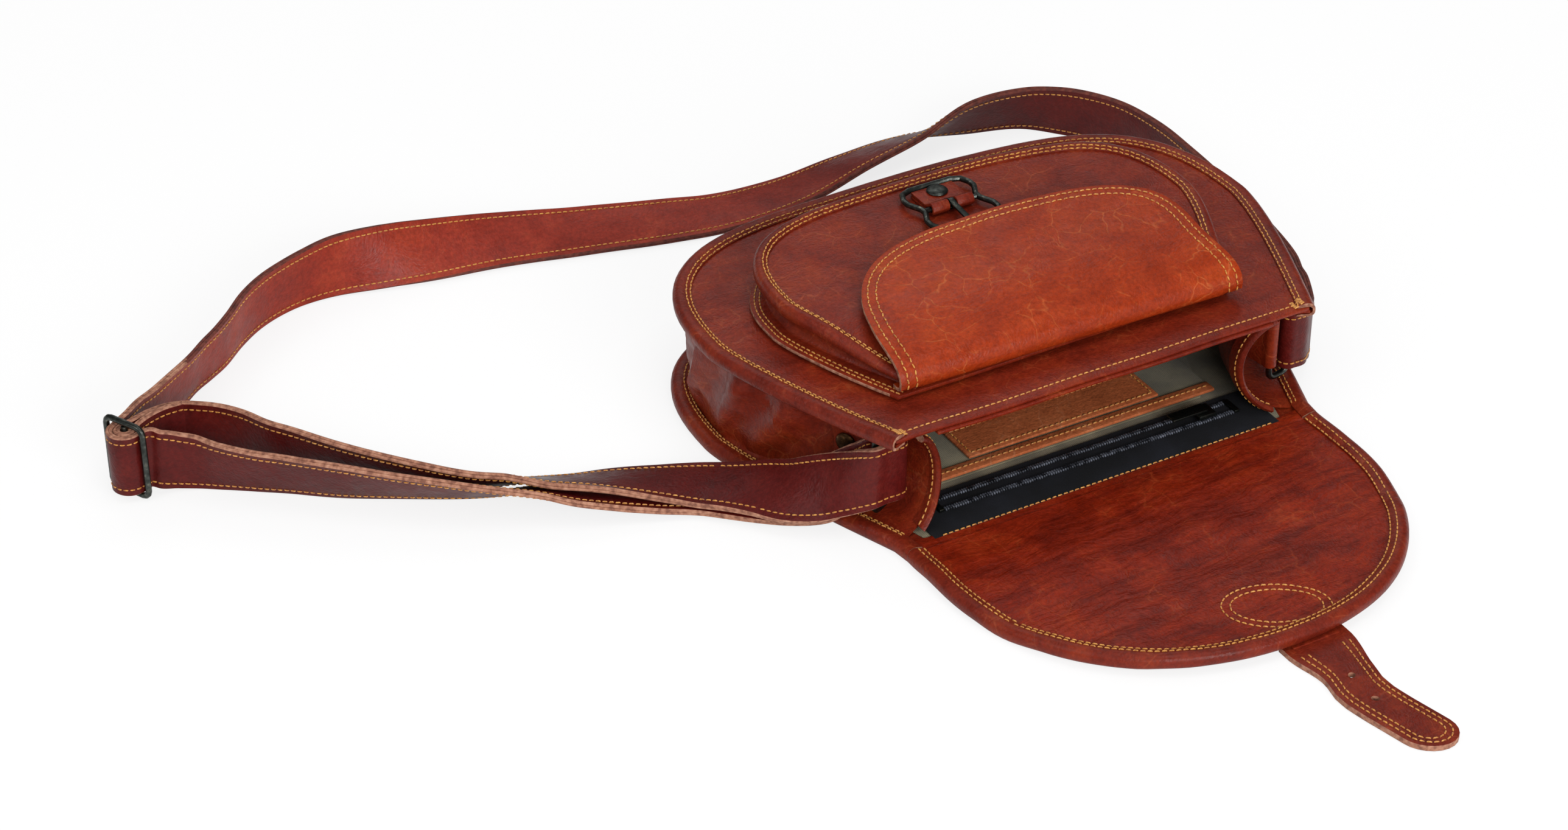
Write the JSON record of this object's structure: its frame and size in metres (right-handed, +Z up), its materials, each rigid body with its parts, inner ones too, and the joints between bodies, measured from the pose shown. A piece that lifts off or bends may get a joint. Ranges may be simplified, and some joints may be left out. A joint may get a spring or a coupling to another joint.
{
  "type": "leather saddle shoulder bag",
  "caption": "Leather saddle bag on its back with its flap thrown open, front pocket, zip pocket, closing strap and long shoulder strap.",
  "frame": {"origin": "on the floor under the middle of the bag's mouth line, on the plane of the back panel's underside", "axes": "+X along the mouth to the wearer's left end, +Y from the mouth to the bag's rounded bottom, -Y to the tip of the open flap, +Z up through the front panel and its pocket"},
  "size_m": [0.5885, 0.5719, 0.0869],
  "materials": {
    "body_leather": "oiled red-brown cowhide, satin",
    "strap_leather": "dark wine-brown cowhide, satin",
    "tan_leather": "tan cowhide, satin",
    "canvas": "olive-grey cotton canvas",
    "zip_tape": "black woven zip tape and coil",
    "dark_metal": "antique dark plating, semi-gloss"
  },
  "bodies": {
    "bag": {"back_panel": "body_leather", "back_binding": "body_leather", "mouth_facing": "body_leather", "front_panel": "body_leather", "front_binding": "body_leather", "back_lining": "canvas", "front_lining": "canvas", "front_hem": "body_leather", "gusset": "body_leather", "gusset_edge_left": "body_leather", "gusset_edge_right": "body_leather", "zip_tape_flap": "zip_tape", "zip_tape_bag": "zip_tape", "zip_coil_flap": "zip_tape", "zip_coil_bag": "zip_tape", "zip_stop_left": "dark_metal", "zip_stop_right": "dark_metal", "zip_pocket_wall": "canvas", "slip_pocket_edge": "tan_leather", "slip_pocket": "canvas", "inner_patch": "tan_leather", "pocket_back": "body_leather", "pocket_gusset": "body_leather", "pocket_front": "body_leather", "pocket_binding": "body_leather", "pocket_flap_root": "body_leather", "buckle_keeper": "body_leather", "buckle_rivet": "dark_metal", "strap_loop_left": "strap_leather", "strap_end_right": "strap_leather", "ring_left": "dark_metal", "ring_right": "dark_metal", "ring_tab_left": "body_leather", "ring_tab_right": "body_leather", "tab_rivet_left": "dark_metal", "tab_rivet_right": "dark_metal"},
    "flap_bridge": {"flap_bridge": "body_leather", "flap_bridge_facing": "body_leather", "flap_bridge_binding_left": "body_leather", "flap_bridge_binding_right": "body_leather"},
    "flap_front": {"flap_front": "body_leather", "flap_front_facing": "body_leather", "flap_binding": "body_leather", "closing_strap_base": "body_leather"},
    "closing_strap": {"closing_strap": "body_leather"},
    "pocket_flap": {"pocket_flap": "body_leather"},
    "buckle_frame": {"buckle_frame": "dark_metal"},
    "buckle_tongue": {"buckle_tongue": "dark_metal"},
    "zip_slider": {"zip_slider": "dark_metal"},
    "zip_pull": {"zip_pull": "dark_metal"},
    "strap": {"strap_long": "strap_leather", "strap_return": "strap_leather", "slide_frame": "dark_metal", "slide_bar": "dark_metal"}
  },
  "joints": [
    {"name": "flap_fold_low", "type": "hinge", "parent": "bag", "child": "flap_bridge", "pos_m": [0, -0.015, 0.0064], "axis": [-1, 0, 0], "range_deg": [0, 90]},
    {"name": "flap_fold_high", "type": "hinge", "parent": "flap_bridge", "child": "flap_front", "pos_m": [0, -0.083, 0.0064], "axis": [-1, 0, 0], "range_deg": [0, 70.2]},
    {"name": "closing_strap_root", "type": "hinge", "parent": "flap_front", "child": "closing_strap", "pos_m": [0.0095, -0.1572, 0.0015], "axis": [1, 0, 0], "range_deg": [-90, 0]},
    {"name": "pocket_flap_fold", "type": "hinge", "parent": "bag", "child": "pocket_flap", "pos_m": [-0.005, 0.022, 0.0832], "axis": [-1, 0, 0], "range_deg": [-120, 0]},
    {"name": "buckle_frame_pivot", "type": "hinge", "parent": "bag", "child": "buckle_frame", "pos_m": [-0.005, 0.1285, 0.0825], "axis": [1, 0, 0], "range_deg": [0, 4.5]},
    {"name": "buckle_tongue_pivot", "type": "hinge", "parent": "buckle_frame", "child": "buckle_tongue", "pos_m": [-0.005, 0.1285, 0.0825], "axis": [-1, 0, 0], "range_deg": [0, 120]},
    {"name": "zip_slide", "type": "slide", "parent": "bag", "child": "zip_slider", "axis": [-1, 0, 0], "range_m": [0, 0.14]},
    {"name": "zip_pull_pivot", "type": "hinge", "parent": "zip_slider", "child": "zip_pull", "pos_m": [0.066, 0.012, 0.0089], "axis": [0, 1, 0], "range_deg": [0, 170]},
    {"name": "strap_swing", "type": "hinge", "parent": "bag", "child": "strap", "pos_m": [0, 0.045, 0.018], "axis": [1, 0, 0], "range_deg": [0, 85]}
  ],
  "couplings": [
    {"joint": "flap_fold_high", "follows": "flap_fold_low", "ratio": 0.78}
  ]
}
